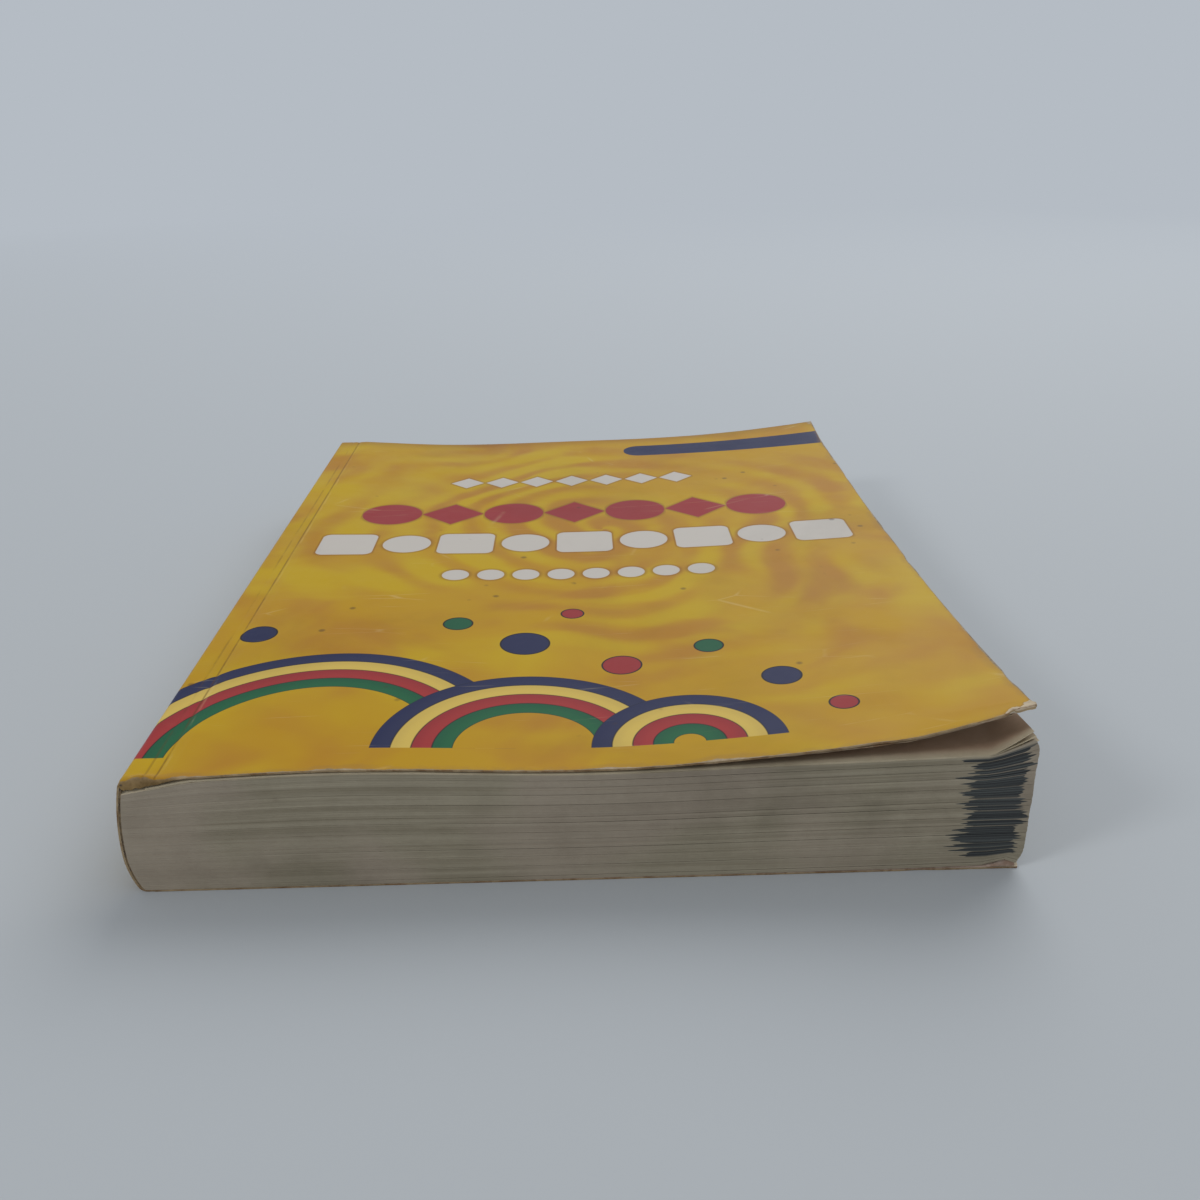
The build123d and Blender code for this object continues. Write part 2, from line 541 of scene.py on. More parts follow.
# ------------------------------------------------------------------------------
# The first three leaves: single sheets that lie loose on the pressed block. Their tail corner by the
# fore-edge has been folded up along a crease and stands open under the cover.
# ------------------------------------------------------------------------------
leaf_thickness = 0.09 * MM
corner_rises = (3.3 * MM, 4.2 * MM, 5.2 * MM)
leaf_start_x = crease_x - 2 * MM
leaf_columns, leaf_rows = 72, 90


def eased(share, closeness):
    """Share from 0 to 1 whose steps are closer together near both ends."""
    return share - closeness * math.sin(2 * math.pi * share) / (2 * math.pi)


def flat_grid(columns, rows):
    """Bmesh of a grid one unit square, to be laid out as a sheet."""
    bm = bmesh.new()
    bmesh.ops.create_grid(bm, x_segments=columns, y_segments=rows, size=0.5)
    return bm


def settle(piece):
    """Applies a piece's modifiers, and trims the finished sheet to the book's own size."""
    bpy.context.view_layer.update()
    graph = bpy.context.evaluated_depsgraph_get()
    finished = bpy.data.meshes.new_from_object(piece.evaluated_get(graph))
    piece.modifiers.clear()
    piece.data = finished
    low, high = cad_box
    for vert in finished.vertices:
        vert.co = [min(max(place, low[i]), high[i]) for i, place in enumerate(vert.co)]
    finished.set_sharp_from_angle(angle=math.radians(40))


def solid_sheet(piece, thickness, rim=0, inside=0):
    """Gives a sheet its thickness, inwards from its printed face, and smooths its faces."""
    for face in piece.data.polygons:
        face.use_smooth = True
    solid = piece.modifiers.new("thickness", "SOLIDIFY")
    solid.thickness = thickness
    solid.offset = -1
    solid.material_offset = inside
    solid.material_offset_rim = rim
    settle(piece)


def loose_leaf(number):
    rise = corner_rises[number]
    bm = flat_grid(leaf_columns, leaf_rows)
    for vert in bm.verts:
        across, along = eased(vert.co.x + 0.5, 0.75), eased(vert.co.y + 0.5, 0.8)
        x = leaf_start_x + (fore_x - leaf_start_x) * across
        y = tail_y + page_height * along
        corner = turned_corner(x, y)
        height = top_of_leaves(x, y) - (loose_leaves - number - 1) * leaf_pitch - 0.01 * MM
        height += rise * corner + 0.2 * MM * corner * noise.noise(Vector((x * 90, y * 90, number)))
        height -= crushed_corner(x, y)
        x -= (0.15 + 0.2 * number) * MM * across + (0.5 + 0.5 * number) * MM * corner**2
        y += (0.1 * MM + 0.12 * MM * edge_noise(x, y, number, 9 * MM)) * (1 if along < 0.5 else -1)
        vert.co = (x, y, height)
    piece = new_piece(f"loose_leaf_{number + 1}", bm, (page_paper,))
    solid_sheet(piece, leaf_thickness)
    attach(piece, "block")


for number in range(loose_leaves):
    loose_leaf(number)


# ------------------------------------------------------------------------------
# The binding glue: a skin of amber hot-melt between the backs of the leaves and the card. It was rolled
# on and trimmed with the book, so its ends show at the tail and head as a thin uneven line.
# ------------------------------------------------------------------------------
glue_steps = 64
glue_rows = 60


def glue_material():
    material, nodes, shader = new_material("hot-melt glue")
    place = nodes.value("TexCoord", "Object")
    cloud = nodes.noise(place, 420, 3, 0.6)
    amber = nodes.mix(cloud.between(0.35, 0.65), colour(84, 66, 44), colour(140, 118, 82))
    dirty = nodes.group(handling_grime, Place=place, Colour=amber, Smudge=0.8, Specks=1.0)
    nodes.finish(shader, dirty["Colour"], cloud, strength=0.6, depth=0.2 * MM, roughness=0.42)
    shader.inputs["Subsurface Weight"].default_value = 0.1
    shader.inputs["Subsurface Radius"].default_value = (0.4 * MM, 0.25 * MM, 0.1 * MM)
    return material


def glue_piece():
    bm = flat_grid(glue_rows, glue_steps)
    low, high = card + 0.25 * MM, book_top - card - 0.25 * MM
    for vert in bm.verts:
        along, up = vert.co.x + 0.5, vert.co.y + 0.5
        z = low + (high - low) * up
        ragged = 0.25 * MM * (1 + noise.noise(Vector((up * 40, along * 3, 8))))
        y = tail_y + ragged + (page_height - 2 * ragged) * along
        vert.co = (back_at(z, card) + 0.02 * MM, y, z)
    bmesh.ops.reverse_faces(bm, faces=bm.faces)
    piece = new_piece("binding_glue", bm, (glue_material(),))
    solid_sheet(piece, glue - 0.04 * MM)
    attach(piece, "block")
    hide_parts("spine_glue")


glue_piece()


# ------------------------------------------------------------------------------
# The card's front and spine: one sheet of 0.4 mm coated card, printed and laminated outside and bare
# inside. It is creased beside the spine, crushed at the spine's tail corner, split and torn at its tail
# corner by the fore-edge, and worn pale along every edge.
# ------------------------------------------------------------------------------
front_columns, front_rows = 236, 172
cover_gap = 0.25 * MM
lift_stops = (0, 0.05, 0.08, 0.155, 0.23, 0.32, 0.41, 0.52, 0.64, 0.76, 0.915, 1.0)
lift_heights = [mm * MM for mm in (8.0, 6.8, 6.1, 4.5, 3.35, 2.2, 1.7, 1.3, 0.9, 1.5, 2.0, 4.0)]
start_stops = (0, 0.25, 0.50, 0.90, 1.0)
lift_starts = (0.45, 0.50, 0.55, 0.60, 0.60)
tip_lift = 2.2 * MM
shoulder_start_x = spine_arcs[0][0]
spine_length = sum(radius * (last - first) for _, _, radius, first, last in spine_arcs)
foot_end_x = spine_arcs[-1][0]
foot_strip = 1.5 * MM
front_length = fore_x - shoulder_start_x
torn_reach = 6.4 * MM
nick_fade = 0.5 * MM
crushed_length = 14 * MM
tip_cut = 1.9 * MM
crease_width, crease_depth = 0.45 * MM, 0.16 * MM
second_crease, second_width, second_depth = 2.3 * MM, 0.35 * MM, 0.07 * MM
ripple_height = 0.14 * MM
buckle_place, buckle_width = 1.3 * MM, 1.1 * MM
fray_reach = 4.0 * MM


def top_of_cover(x, y):
    """Height of the front cover's printed face, sprung up over the leaves at its free edge."""
    across, along = (x - shoulder_x) / page_width, (y - tail_y) / page_height
    height = smooth_through(lift_stops, lift_heights, along)
    start = smooth_through(start_stops, lift_starts, along)
    spring = (max(0, across - start) / (1 - start)) ** 2.15
    off_crease = min(1, max(0, x - crease_x) / (3 * MM))
    curl_x = min(1, max(0, 1 - (fore_x - 4 * MM - x) / (25 * MM)))
    curl_y = max(0, 1 - (y - tail_y) / (9 * MM)) ** 1.3
    tip = tip_lift * curl_x**2 * (3 - 2 * curl_x) * curl_y
    return top_of_leaves(x, y) + card + cover_gap * off_crease + height * spring + tip


def card_point(along_card, y):
    """Place of a point of the printed face: distance from the shoulder, forwards over the front or,
    below zero, back down the spine and under its foot."""
    if along_card >= 0:
        x = shoulder_start_x + along_card
        return x, (top_of_cover(x, y) if x > crease_x else book_top)
    left = -along_card
    for centre_x, centre_z, radius, first, last in spine_arcs:
        angle = first + min(left, radius * (last - first)) / radius
        if angle < last or last == math.pi:
            break
        left -= radius * (last - first)
    beyond = max(0, left - radius * (last - first)) if last == math.pi else 0
    return centre_x - radius * math.sin(angle) + beyond, centre_z + radius * math.cos(angle)


def worn_border_group():
    """Wear along a cut edge: how far the print has rubbed off, from the distance to the edge."""
    group, nodes, start, end = new_group(
        "worn border",
        (("Place", "Vector"), ("Distance", "Float"), ("Reach", "Float")),
        (("Bare", "Float"), ("Faded", "Float")),
    )
    ragged = nodes.noise(start["Place"], 260, 4, 0.7)
    chips = nodes.noise(start["Place"], 48, 3, 0.6)
    reach = start["Reach"] * (chips.between(0.45, 0.8, 0.5, 3.0) + (ragged - 0.5) * 2.2)
    nearness = start["Distance"] / nodes.larger(reach, 0.00001)
    nodes.feed(nearness.between(1.0, 0.7), end["Bare"])
    nodes.feed(nearness.between(6.0, 0.6), end["Faded"])
    return group


def rounded_block_group():
    """A plain block with rounded corners, of a given centre and half size on the sheet."""
    group, nodes, start, end = new_group(
        "rounded block",
        (("U", "Float"), ("V", "Float"), ("Centre U", "Float"), ("Centre V", "Float"),
         ("Half width", "Float"), ("Half height", "Float"), ("Corner", "Float")),
        (("Distance", "Float"),),
    )
    sides = []
    for place, centre, half in (("U", "Centre U", "Half width"), ("V", "Centre V", "Half height")):
        off = abs(start[place] - start[centre])
        past = off - (start[half] - start["Corner"])
        sides.append(nodes.larger(past, 0.0))
    nodes.feed(nodes.length(*sides) - start["Corner"], end["Distance"])
    return group


def arch_group():
    """Half rings, one inside another, standing on a base line: how far in from the outside a point is."""
    group, nodes, start, end = new_group(
        "arch",
        (("U", "Float"), ("V", "Float"), ("Centre U", "Float"), ("Base V", "Float"), ("Radius", "Float")),
        (("Inwards", "Float"), ("Over base", "Float")),
    )
    du = start["U"] - start["Centre U"]
    dv = start["V"] - start["Base V"]
    nodes.feed(start["Radius"] - nodes.length(du, dv), end["Inwards"])
    nodes.feed(dv, end["Over base"])
    return group


worn_border = worn_border_group()
rounded_block = rounded_block_group()
arch = arch_group()

swirl_u, swirl_v = 98 * MM, 146 * MM
ground_yellow = colour(186, 154, 16)
ground_gold = colour(180, 139, 20)
ground_orange = colour(170, 120, 34)
print_navy = colour(40, 44, 76)
print_red = colour(146, 48, 50)
print_green = colour(32, 88, 60)
print_cream = colour(196, 168, 84)
print_white = colour(190, 184, 176)
bare_card = colour(172, 156, 132)
stained_card = colour(140, 112, 66)
faded_print = colour(140, 104, 62)
scuffed_print = colour(222, 208, 170)
# Painted shade for the creases beside the spine, and a painted highlight for the ridge beside the first
crease_shade_colour = colour(88, 58, 24)
ridge_highlight_colour = colour(226, 204, 150)
torn_lip = colour(206, 192, 168)
torn_inside = colour(140, 130, 114)
# Brown for the line along the tear, also used as painted shade beneath the curled lip
tear_line_and_lip_shade = colour(92, 62, 42)
outline_ink = colour(28, 28, 34)
halo_ink = colour(120, 74, 24)
head_tint = colour(124, 70, 36)
band_light = colour(228, 222, 200)
# Title rows: height from the tail, left end, pitch and number of the shapes, all in millimetres, with
# the half sizes of the two kinds that take turns and their ink
title_rows = (
    (194, 48, 12.5, 7, "Diamond", 5.2, "Diamond", 5.2, print_white),
    (160, 22, 20.2, 7, "Disc", 9.8, "Diamond", 9.0, print_red),
    (132, 13, 18.4, 9, "Square", 8.6, "Disc", 7.4, print_white),
    (106, 53, 10.2, 8, "Disc", 3.9, "Disc", 3.9, print_white),
)
arches = ((34, 9, 46), (82, 9, 33), (117, 9, 21))
arch_band = 4.4 * MM
dots = ((80, 60, 6.0, print_navy), (104, 47, 4.6, print_red), (126, 55, 3.4, print_green),
        (62, 72, 3.6, print_green), (141, 36, 4.4, print_navy), (92, 78, 2.8, print_red),
        (11, 68, 4.4, print_navy), (152, 20, 3.0, print_red))


def shape_row_group():
    """A row of plain shapes at an even pitch: how far outside a disc, a diamond or a square a point is."""
    group, nodes, start, end = new_group(
        "shape row",
        (("U", "Float"), ("V", "Float"), ("Left", "Float"), ("Middle V", "Float"), ("Pitch", "Float"),
         ("Half size", "Float")),
        (("Disc", "Float"), ("Diamond", "Float"), ("Square", "Float"), ("Number", "Float")),
    )
    place = (start["U"] - start["Left"]) / start["Pitch"]
    du = abs((nodes.math("FRACT", place) - 0.5) * start["Pitch"])
    dv = abs(start["V"] - start["Middle V"])
    half = start["Half size"]
    nodes.feed(nodes.length(du, dv) - half, end["Disc"])
    diamond = du + dv - half * 1.12
    nodes.feed(diamond * 0.7, end["Diamond"])
    corner = half * 0.3
    past = [nodes.larger(side - half + corner, 0.0) for side in (du, dv)]
    nodes.feed(nodes.length(*past) - corner, end["Square"])
    nodes.feed(nodes.math("FLOOR", place), end["Number"])
    return group


shape_row = shape_row_group()


def ground(nodes, u, v):
    """The printed ground: golden cloud with soft curling drifts of yellow and orange."""
    sheet = nodes.joined(u, v)
    warp = nodes.noise(sheet, 13, 2, 0.4)
    curl = (warp - 0.5) * 0.05
    bent = nodes.joined(u + curl, v - curl)
    from_u = u + curl - swirl_u
    from_v = v - curl - swirl_v
    away = nodes.length(from_u, from_v)
    turn = nodes.math("ARCTAN2", from_v, from_u)
    spiral = away * 420.0 + turn * 2.0
    swirl = nodes.math("SINE", spiral) * 0.5 + 0.5
    breaks = nodes.noise(sheet, 20, 2, 0.5)
    near = away.between(45 * MM, 120 * MM, 0.36, 0.05) * breaks.between(0.35, 0.6, 0.2, 1.0)
    cloud = nodes.noise(bent, 26, 3, 0.55, 0.5)
    patch = nodes.noise(nodes.stretched(bent, (1, 1.5, 1), (0.3, 0.1, 0.4)), 19, 3, 0.5, 0.4)
    drift = (swirl - 0.5) * near + cloud
    colours = nodes.mix(drift.between(0.26, 0.60), ground_orange, ground_gold)
    bright = patch + (swirl - 0.5) * near
    return nodes.mix(bright.between(0.45, 0.70, 0.0, 0.9), colours, ground_yellow)


def inked_shapes(nodes, u, v, under):
    """The print over the ground: rows of plain shapes, arches, dots and the navy stripe at the head."""
    soft = 0.12 * MM
    shade = under
    for height, left, pitch, count, first, first_half, second, second_half, ink in title_rows:
        row = dict(U=u, V=v, Left=left * MM, Middle_V=height * MM, Pitch=pitch * MM)
        odd = nodes.group(shape_row, Half_size=first_half * MM, **row)
        even = nodes.group(shape_row, Half_size=second_half * MM, **row)
        takes_turn = nodes.math("FRACT", odd["Number"] * 0.5)
        takes_turn = nodes.math("GREATER_THAN", takes_turn, 0.25)
        away = odd[first] * (1.0 - takes_turn) + even[second] * takes_turn
        right = (left + pitch * count) * MM
        in_row = nodes.math("GREATER_THAN", u, left * MM) * nodes.math("LESS_THAN", u, right)
        halo = away.between(1.5 * MM, 0.0, 0.0, 0.5) * in_row
        shade = nodes.mix(halo, shade, halo_ink)
        shape = away.between(soft, -soft) * in_row
        shade = nodes.mix(shape, shade, ink)
    for centre, base, radius in arches:
        made = nodes.group(arch, U=u, V=v, Centre_U=centre * MM, Base_V=base * MM, Radius=radius * MM)
        inwards, over = made["Inwards"], made["Over base"]
        ring = inwards / arch_band
        bands = nodes.add("ValToRGB", {"Fac": ring / 4.0})
        bands.color_ramp.interpolation = "CONSTANT"
        ramp = bands.color_ramp.elements
        ramp[0].color, ramp[1].position, ramp[1].color = print_navy, 0.25, print_cream
        for position, ink in ((0.5, print_red), (0.75, print_green)):
            ramp.new(position).color = ink
        across_band = nodes.math("FRACT", ring)
        banded = Value(nodes, bands.outputs["Color"])
        rounded = nodes.mix(across_band.between(0.15, 0.75, 0.0, 0.35), banded, band_light, "SOFT_LIGHT")
        line = abs(across_band - 0.5)
        outlined = nodes.mix(line.between(0.44, 0.49, 0.0, 0.8), rounded, outline_ink)
        outlined = nodes.mix(ring.between(3.98, 4.02), outlined, under)
        inside = inwards.between(-soft, soft) * over.between(-soft, soft)
        shade = nodes.mix(inside, shade, outlined)
    for centre, height, radius, ink in dots:
        dot = nodes.group(arch, U=u, V=v, Centre_U=centre * MM, Base_V=height * MM, Radius=radius * MM)
        shade = nodes.mix(dot["Inwards"].between(-0.5 * MM, -0.3 * MM), shade, outline_ink)
        shade = nodes.mix(dot["Inwards"].between(-soft, soft), shade, ink)
    stripe = nodes.group(
        rounded_block, U=u, V=v, Centre_U=212 * MM, Centre_V=229 * MM, Half_width=100 * MM,
        Half_height=6.5 * MM, Corner=6 * MM,
    )["Distance"]
    shade = nodes.mix(v.between(237 * MM, 246 * MM, 0.0, 0.4), shade, head_tint)
    return nodes.mix(stripe.between(soft, -soft), shade, print_navy)


def printed_card_material(name, printed):
    """Laminated card: the print under a satin film that has picked up scratches and rubbed edges, with
    painted shade along the creases beside the spine and a painted highlight on a ridge beside the first.
    """
    material, nodes, shader = new_material(name)
    place = nodes.value("TexCoord", "Object")
    sheet = nodes.value("UVMap", 0, uv_map="print")
    u, v, _ = nodes.parts(sheet)
    print_colour = ground(nodes, u, v)
    if printed:
        print_colour = inked_shapes(nodes, u, v, print_colour)

    # Distances to the cut edges, and to the two creases beside the spine
    end_gap = page_height / 2 - abs(v - page_height / 2)
    fore_gap = fore_x - shoulder_start_x - u
    edge_gap = nodes.math("MINIMUM", end_gap, fore_gap)
    near_tip = fore_gap.between(16 * MM, 0.0, 0.0, 0.8 * MM) * v.between(9 * MM, 4 * MM)
    along_tail = v.between(3 * MM, 1.5 * MM, 0.3 * MM, 0.68 * MM)
    reach = near_tip + along_tail
    wear = nodes.group(worn_border, Place=place, Distance=edge_gap, Reach=reach)
    crease_u = crease_x - shoulder_start_x
    to_crease = u - crease_u
    to_shoulder = abs(u - (crease_u - 2.4 * MM))
    patchy = nodes.noise(nodes.stretched(place, (1, 0.35, 1)), 190, 4, 0.65)
    # Painted shade: dark patchy lines along both creases beside the spine; painted highlight: a pale line on
    # a ridge 0.8 mm past the first crease
    crease = abs(to_crease).between(0.34 * MM, 0.08 * MM) * patchy.between(0.34, 0.56, 0.25, 1.0)
    second = to_shoulder.between(0.4 * MM, 0.1 * MM) * patchy.between(0.40, 0.60, 0.0, 0.6)
    ridge_highlight = abs(to_crease - 0.8 * MM)
    ridge_highlight = ridge_highlight.between(0.5 * MM, 0.0) * patchy.between(0.45, 0.65)
    crease_shade = nodes.larger(crease, second)

    # The torn corner by the fore-edge, and the crushed one at the spine's tail
    uneven = nodes.noise(place, 330, 4, 0.6) - 0.5
    torn = nodes.group(arch, U=u, V=v, Centre_U=front_length, Base_V=0.0,
                       Radius=torn_reach + 0.2 * MM)["Inwards"]
    lobes = nodes.noise(place, 170, 2, 0.5, 0.6) - 0.5
    frayed = torn + uneven * (6 * MM) + lobes * (9 * MM)
    along_hit = abs(u - 2.5 * MM).between(13 * MM, 1 * MM, 0.0, 0.9 * MM)
    crushed = along_hit - v + uneven * (2.4 * MM)
    head_worn = nodes.group(arch, U=u, V=v, Centre_U=front_length, Base_V=page_height, Radius=2.5 * MM)
    head_worn = head_worn["Inwards"] + uneven * (6 * MM)
    bare = nodes.larger(wear["Bare"], frayed.between(-0.1 * MM, 0.2 * MM))
    bare = nodes.larger(bare, crushed.between(0.0, 0.3 * MM))
    bare = nodes.larger(bare, head_worn.between(0.0, 0.4 * MM))
    rip = abs(frayed + 0.25 * MM).between(0.35 * MM, 0.05 * MM) * patchy.between(0.35, 0.55)
    stain = v.between(2.5 * MM, 0.0, 0.0, 0.85) * u.between(20 * MM, 6 * MM)

    # Scratches: long faint arcs left by other books on the shelf
    books = {"Vector": nodes.stretched(sheet, (9, 46, 1)), "Scale": 1.6}
    sweep = nodes.value("TexVoronoi", "Distance", books, feature="DISTANCE_TO_EDGE")
    wisp = nodes.noise(sheet, 34, 3, 0.6)
    scratch = sweep.between(0.012, 0.0) * wisp.between(0.52, 0.66)
    hair = nodes.noise(nodes.stretched(sheet, (0.9, 34, 1)), 60, 2, 0.6)
    fine = hair.between(0.66, 0.74) * wisp.between(0.42, 0.6)
    marks = nodes.larger(scratch, fine * 0.6)

    tan_card = nodes.mix(stain, bare_card, stained_card)
    card_fibre = nodes.group(paper_fibre, Place=place, Colour=tan_card, Mottle=0.6)
    faded = nodes.mix(wear["Faded"] * 0.3, print_colour, faded_print)
    scuffed = nodes.mix(marks * 0.22, faded, scuffed_print)
    dirty = nodes.group(handling_grime, Place=place, Colour=scuffed, Smudge=0.10, Specks=0.55)
    # Painted shade in the creases, then the painted highlight on the ridge
    creased = nodes.mix(crease_shade * 0.55, dirty["Colour"], crease_shade_colour)
    creased = nodes.mix(ridge_highlight * 0.16, creased, ridge_highlight_colour)
    lip = frayed.between(2.2 * MM, 0.9 * MM, 0.0, 0.55) * frayed.between(-0.1 * MM, 0.2 * MM)
    base = nodes.mix(bare, creased, card_fibre["Colour"])
    base = nodes.mix(lip, base, torn_lip)
    base = nodes.mix(frayed.between(3.2 * MM, 4.4 * MM, 0.0, 0.6), base, torn_inside)
    # Painted shade: a dark brown line just inside the curled lip, on the card it shades; it is drawn in the
    # same brown as the line along the tear's outer edge
    split = abs(frayed - 2.7 * MM).between(0.5 * MM, 0.15 * MM) * patchy.between(0.36, 0.48)
    rip = nodes.larger(rip * 0.5, split * 0.8)
    base = nodes.mix(rip, base, tear_line_and_lip_shade)
    soft_dents = nodes.noise(sheet, 26, 2, 0.5)
    pores = nodes.noise(sheet, 1500, 2, 0.5)
    height = soft_dents * 0.9 + pores * 0.05 - marks * 0.06 - bare * 0.25 + bare * patchy * 0.5
    gloss = nodes.noise(sheet, 42, 4, 0.6).between(0.35, 0.7, 0.34, 0.46)
    gloss = nodes.math("ADD", gloss + marks * 0.16, bare * 0.45, clamp=True)
    nodes.finish(shader, base, height, strength=0.35, depth=0.4 * MM, roughness=gloss)
    shader.inputs["Specular IOR Level"].default_value = 0.1
    return material


def plain_card_material(name, tone, worn_tone, mottle):
    """Bare card, as on the cover's inside and along its cut edges."""
    material, nodes, shader = new_material(name)
    place = nodes.value("TexCoord", "Object")
    patches = nodes.noise(place, 210, 4, 0.7).between(0.42, 0.62)
    tones = nodes.mix(patches, tone, worn_tone)
    fibre = nodes.group(paper_fibre, Place=place, Colour=tones, Mottle=mottle)
    dirty = nodes.group(handling_grime, Place=place, Colour=fibre["Colour"], Smudge=0.14, Specks=0.4)
    nodes.finish(shader, dirty["Colour"], fibre["Height"], strength=0.3, depth=0.1 * MM, roughness=0.82)
    return material


front_print = printed_card_material("laminated front and spine", True)
card_inside = plain_card_material("card inside", colour(202, 190, 168), colour(194, 180, 156), 0.12)
card_edge = plain_card_material("card cut edge", colour(168, 146, 112), colour(134, 104, 70), 0.4)


def nick(place, seed):
    """How deep the card's edge is chipped at a place along it."""
    fine = 0.05 * (1 + noise.noise(Vector((place * 420, seed, 0))))
    chip = max(0, noise.noise(Vector((place * 75, seed, 3))) - 0.30) * 0.9
    return (fine + chip) * MM


def lay_print(bm, flat):
    """Gives each point of a sheet its place on the flat print."""
    uv = bm.loops.layers.uv["print"]
    for face in bm.faces:
        for loop in face.loops:
            loop[uv].uv = flat[loop.vert]


def front_sheet():
    """The sheet itself: a grid laid from under the spine's foot, round the back and over the front."""
    # The grid is closer from its start to a little past the crease, where it has to bend
    start = -(spine_length + foot_strip)
    fine_end, spine_share = crease_x - shoulder_start_x + 4 * MM, 0.36
    bm = flat_grid(front_columns, front_rows)
    bm.loops.layers.uv.new("print")
    flat = {}
    for vert in bm.verts:
        across, along = vert.co.x + 0.5, eased(vert.co.y + 0.5, 0.86)
        if across < spine_share:
            at = start + (fine_end - start) * across / spine_share
        else:
            rest = (across - spine_share) / (1 - spine_share)
            at = fine_end + (front_length - fine_end) * (rest + 0.12 * math.sin(math.pi * rest) * rest)
        v = page_height * along
        flat[vert] = (at, v)
        tail_gap, head_gap, fore_gap = v, page_height - v, front_length - at
        x, z = card_point(at, tail_y + v)
        y = tail_y + v
        y += nick(at, 1) * math.exp(-tail_gap / nick_fade) - nick(at, 2) * math.exp(-head_gap / nick_fade)
        if at > 0:
            x -= nick(v, 3) * math.exp(-fore_gap / nick_fade)
        # creases pressed beside the spine, and the rippled edge along the tail
        if at > 1 * MM:
            z -= crease_depth * math.exp(-((x - crease_x) / crease_width) ** 2)
            z -= second_depth * math.exp(-((x - crease_x + second_crease) / second_width) ** 2)
            ripple = noise.noise(Vector((x * 70, 1.7, 0)))
            z += ripple_height * (1 + ripple) * math.exp(-tail_gap / (3 * MM)) * min(1, fore_gap / (20 * MM))
        # crushed corner at the spine's tail: the edge knocked down over the leaves, and buckled behind
        buckle = noise.noise(Vector((at * 420, v * 420, 2)))
        pleat = noise.noise(Vector((at * 900, 4.4, 1)))
        if at > -1.5 * MM:
            hit = min(1, (at + 1.5 * MM) / (1.5 * MM)) * max(0, 1 - max(0, at) / crushed_length) ** 1.1
            z -= hit * (2.3 + 0.5 * pleat) * MM * math.exp(-tail_gap / (0.42 * MM))
            raised = math.exp(-(((tail_gap - buckle_place) / buckle_width) ** 2))
            z += hit * raised * (0.55 + 0.8 * buckle) * MM * math.exp(-(((at - 4 * MM) / (3.6 * MM)) ** 2))
            x += hit * raised * 0.3 * buckle * MM
        # split corner by the fore-edge: the plies curl and fray
        fray = math.exp(-((fore_gap / fray_reach) ** 2)) * math.exp(-((tail_gap / fray_reach) ** 2))
        tatter = noise.noise(Vector((at * 600, v * 600, 6)))
        z += fray * (0.55 * tatter - 0.15) * MM
        from_tip = math.hypot(fore_gap, tail_gap)
        peeled = math.exp(-(((from_tip - torn_reach) / (0.9 * MM)) ** 2)) * max(0, 1 - tail_gap / (7 * MM))
        z += 0.75 * MM * peeled * (1 + 0.7 * tatter) * (at > 0)
        y += fray * 0.6 * MM * (1 + tatter)
        x -= fray * 0.4 * MM * (1 - tatter)
        if at > 0:
            x -= tip_cut * max(0, 1 - v / (5 * MM)) * math.exp(-((fore_gap / (6 * MM)) ** 2))
        y = min(max(y, tail_y + 0.16 * MM), head_y - 0.05 * MM)
        vert.co = (x, y, min(z, cad_box[1].z))
    lay_print(bm, flat)
    piece = new_piece("spine_and_front_cover", bm, (front_print, card_inside, card_edge))
    solid_sheet(piece, card, rim=2, inside=1)
    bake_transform(piece)
    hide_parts("spine_cover", "front_cover")


front_sheet()


def peeled_ply():
    """The card's inner ply, hanging off the split tail edge of the front as far as its torn corner."""
    bm = flat_grid(120, 12)
    bmesh.ops.reverse_faces(bm, faces=bm.faces)
    for vert in bm.verts:
        across, along = vert.co.x + 0.5, vert.co.y + 0.5
        x = shoulder_x + page_width * (0.60 + 0.365 * across)
        y = tail_y + (0.15 + 7 * along) * MM
        y += 0.25 * MM * (1 + noise.noise(Vector((x * 300, 2.2, 0)))) * (1 - along)
        hang = across**1.2 * (1 - across**7) * (1 - along) ** 2
        hang *= 1 + 0.4 * noise.noise(Vector((x * 160, 5.1, 0)))
        z = top_of_cover(x, y) - card - (0.03 + 0.62 * hang) * MM
        vert.co = (x, y, z)
    piece = new_piece("peeled_ply", bm, (peeled_card,))
    solid_sheet(piece, 0.12 * MM)
    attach(piece, "front_cover")


peeled_card = plain_card_material("peeled card ply", colour(188, 166, 138), colour(150, 118, 88), 0.25)
peeled_ply()


# ------------------------------------------------------------------------------
# The card's back: the rest of the same sheet, under the leaves. It lies flat on the table, hinges at a
# crease of its own, and its tail corner by the fore-edge has split.
# ------------------------------------------------------------------------------
back_columns, back_rows = 110, 130
back_crease_depth = 0.14 * MM
back_print = printed_card_material("laminated back", False)


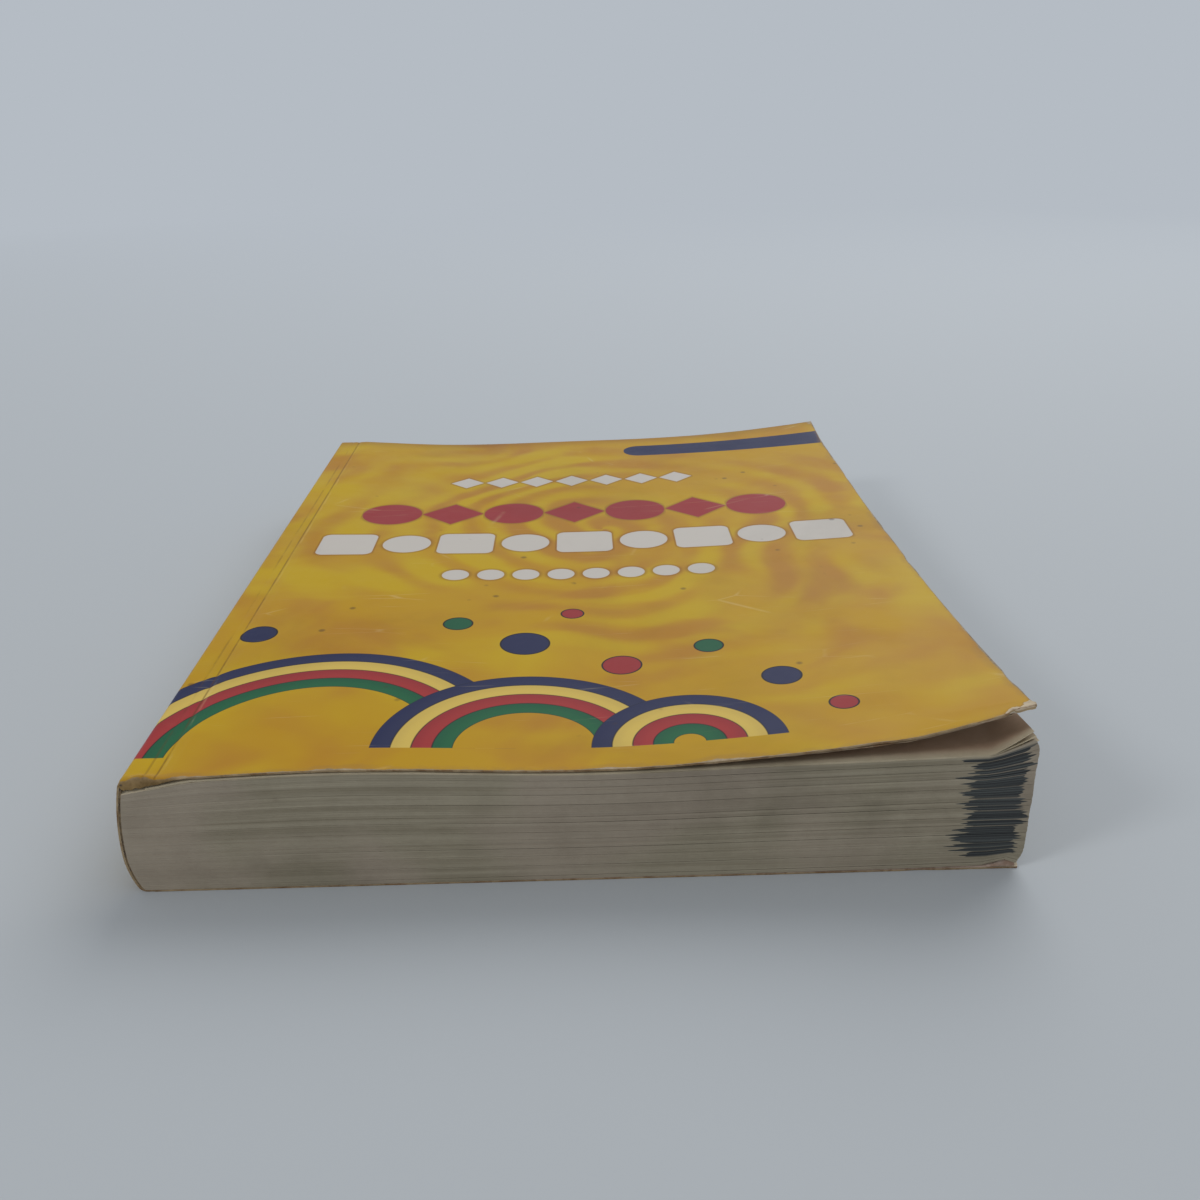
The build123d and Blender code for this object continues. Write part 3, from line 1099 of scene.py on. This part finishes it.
def back_sheet():
    bm = flat_grid(back_columns, back_rows)
    bmesh.ops.reverse_faces(bm, faces=bm.faces)
    bm.loops.layers.uv.new("print")
    start_x = foot_end_x + foot_strip
    flat = {}
    for vert in bm.verts:
        across, along = vert.co.x + 0.5, eased(vert.co.y + 0.5, 0.86)
        x = start_x + (fore_x - start_x) * (across**1.25 if across < 0.5 else 1 - (1 - across) ** 1.25)
        v = page_height * along
        flat[vert] = (x - shoulder_start_x, v)
        tail_gap, head_gap, fore_gap = v, page_height - v, fore_x - x
        y = tail_y + v
        y += nick(x, 4) * math.exp(-tail_gap / nick_fade) - nick(x, 5) * math.exp(-head_gap / nick_fade)
        groove = back_crease_depth * math.exp(-((x - crease_x) / crease_width) ** 2)
        x -= nick(v, 6) * math.exp(-fore_gap / nick_fade)
        x -= 0.9 * MM * math.exp(-tail_gap / (3 * MM)) * math.exp(-fore_gap / (5 * MM))
        vert.co = (x, y, groove)
    lay_print(bm, flat)
    piece = new_piece("back_cover_sheet", bm, (back_print, card_inside, card_edge))
    solid_sheet(piece, card, rim=2, inside=1)
    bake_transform(piece)
    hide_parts("back_cover")


back_sheet()


def split_ply():
    """The inner ply of the back card, parted from it and curled up in front of the lowest leaves."""
    bm = flat_grid(150, 16)
    for vert in bm.verts:
        across, along = vert.co.x + 0.5, (vert.co.y + 0.5) ** 1.6
        x = shoulder_x + page_width * (0.44 + 0.553 * across)
        y = tail_y + (0.05 + 7 * along) * MM
        wrinkle = 0.10 * MM * noise.noise(Vector((x * 260, y * 300, 9)))
        z = card + 0.08 * MM + split_height(x, y) + wrinkle * min(1, split_height(x, tail_y + 0.6 * MM) / MM)
        x -= 0.5 * MM * math.exp(-(fore_x - x) / (3 * MM))
        vert.co = (x, y, max(z, card + 0.07 * MM))
    piece = new_piece("split_ply", bm, (torn_ply,))
    solid_sheet(piece, 0.06 * MM)
    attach(piece, "back_cover")


torn_ply = plain_card_material("torn card ply", colour(184, 164, 150), colour(150, 124, 106), 0.25)
split_ply()


# ------------------------------------------------------------------------------
# The studio: a wide pale table that meets an even pale backdrop, under a large soft lamp behind to the
# right, a smaller one in front to the left and soft light from all round.
# ------------------------------------------------------------------------------
floor_half = 4.0
floor_drop = 0.05 * MM
backdrop_start, fade_reach, backdrop_end = -0.1, 0.6, 1.5
backdrop_colour = colour(181, 188, 196)
floor_colour = colour(178, 183, 187)


def floor_material():
    """Matt pale table, which fades into the colour of the backdrop as it goes away."""
    material, nodes, shader = new_material("pale table")
    place = nodes.value("TexCoord", "Object")
    x, y, _ = nodes.parts(place)
    far = nodes.larger(y.between(backdrop_start, backdrop_end),
                       nodes.length(x, y).between(fade_reach, backdrop_end))
    shader.inputs["Base Color"].default_value = floor_colour
    shader.inputs["Roughness"].default_value = 0.7
    shader.inputs["Specular IOR Level"].default_value = 0.15
    glow = nodes.value("Emission", 0, {"Color": backdrop_colour, "Strength": 1.0})
    share = nodes.seen_ray() * far
    fade = nodes.value("MixShader", 0, {0: share, 1: Value(nodes, shader.outputs[0]), 2: glow})
    output = material.node_tree.nodes["Material Output"]
    nodes.feed(fade, output.inputs["Surface"])
    return material


def table():
    bm = bmesh.new()
    bmesh.ops.create_grid(bm, x_segments=8, y_segments=8, size=floor_half)
    bmesh.ops.translate(bm, verts=bm.verts, vec=(0, 0, -floor_drop))
    new_piece("table", bm, (floor_material(),))


table()


def lamp(name, place, aim, size, power):
    light = bpy.data.lights.new(name, "AREA")
    light.shape = "DISK"
    light.size = size
    light.energy = power
    made = bpy.data.objects.new(name, light)
    made.location = place
    made.rotation_euler = (Vector(place) - Vector(aim)).to_track_quat("Z", "Y").to_euler()
    bpy.context.scene.collection.objects.link(made)


lamp("key softbox", place=(0.75, 1.3, 1.6), aim=(0, 0, 0), size=1.9, power=25)
lamp("side softbox", place=(-2.0, -1.1, 1.7), aim=(0, 0, 0), size=0.7, power=16)

world = bpy.data.worlds.new("studio")
world.use_nodes = True
bpy.context.scene.world = world
sky = Nodes(world.node_tree)
around = world.node_tree.nodes["Background"]
around.inputs["Color"].default_value = (0.93, 0.96, 1, 1)
around.inputs["Strength"].default_value = 0.5
backdrop = sky.value("Background", 0, {"Color": backdrop_colour, "Strength": 1.0})
both = {0: sky.seen_ray(), 1: Value(sky, around.outputs[0]), 2: backdrop}
sky.feed(sky.value("MixShader", 0, both), world.node_tree.nodes["World Output"].inputs["Surface"])

camera_place = (2.7 * MM, -320.4 * MM, 154.2 * MM)
camera_yaw, camera_pitch, camera_roll = 0.875, 24.125, -1.033
camera_data = bpy.data.cameras.new("camera")
camera_data.sensor_width = 36
camera_data.lens = 33.96
camera_data.clip_start = 0.01
camera = bpy.data.objects.new("camera", camera_data)
camera.location = camera_place
turn = Euler((math.radians(90 - camera_pitch), 0, math.radians(-camera_yaw))).to_matrix()
camera.rotation_euler = (turn @ Matrix.Rotation(math.radians(camera_roll), 3, "Z")).to_euler()
bpy.context.scene.collection.objects.link(camera)
bpy.context.scene.camera = camera
bpy.context.scene.view_settings.view_transform = "Standard"
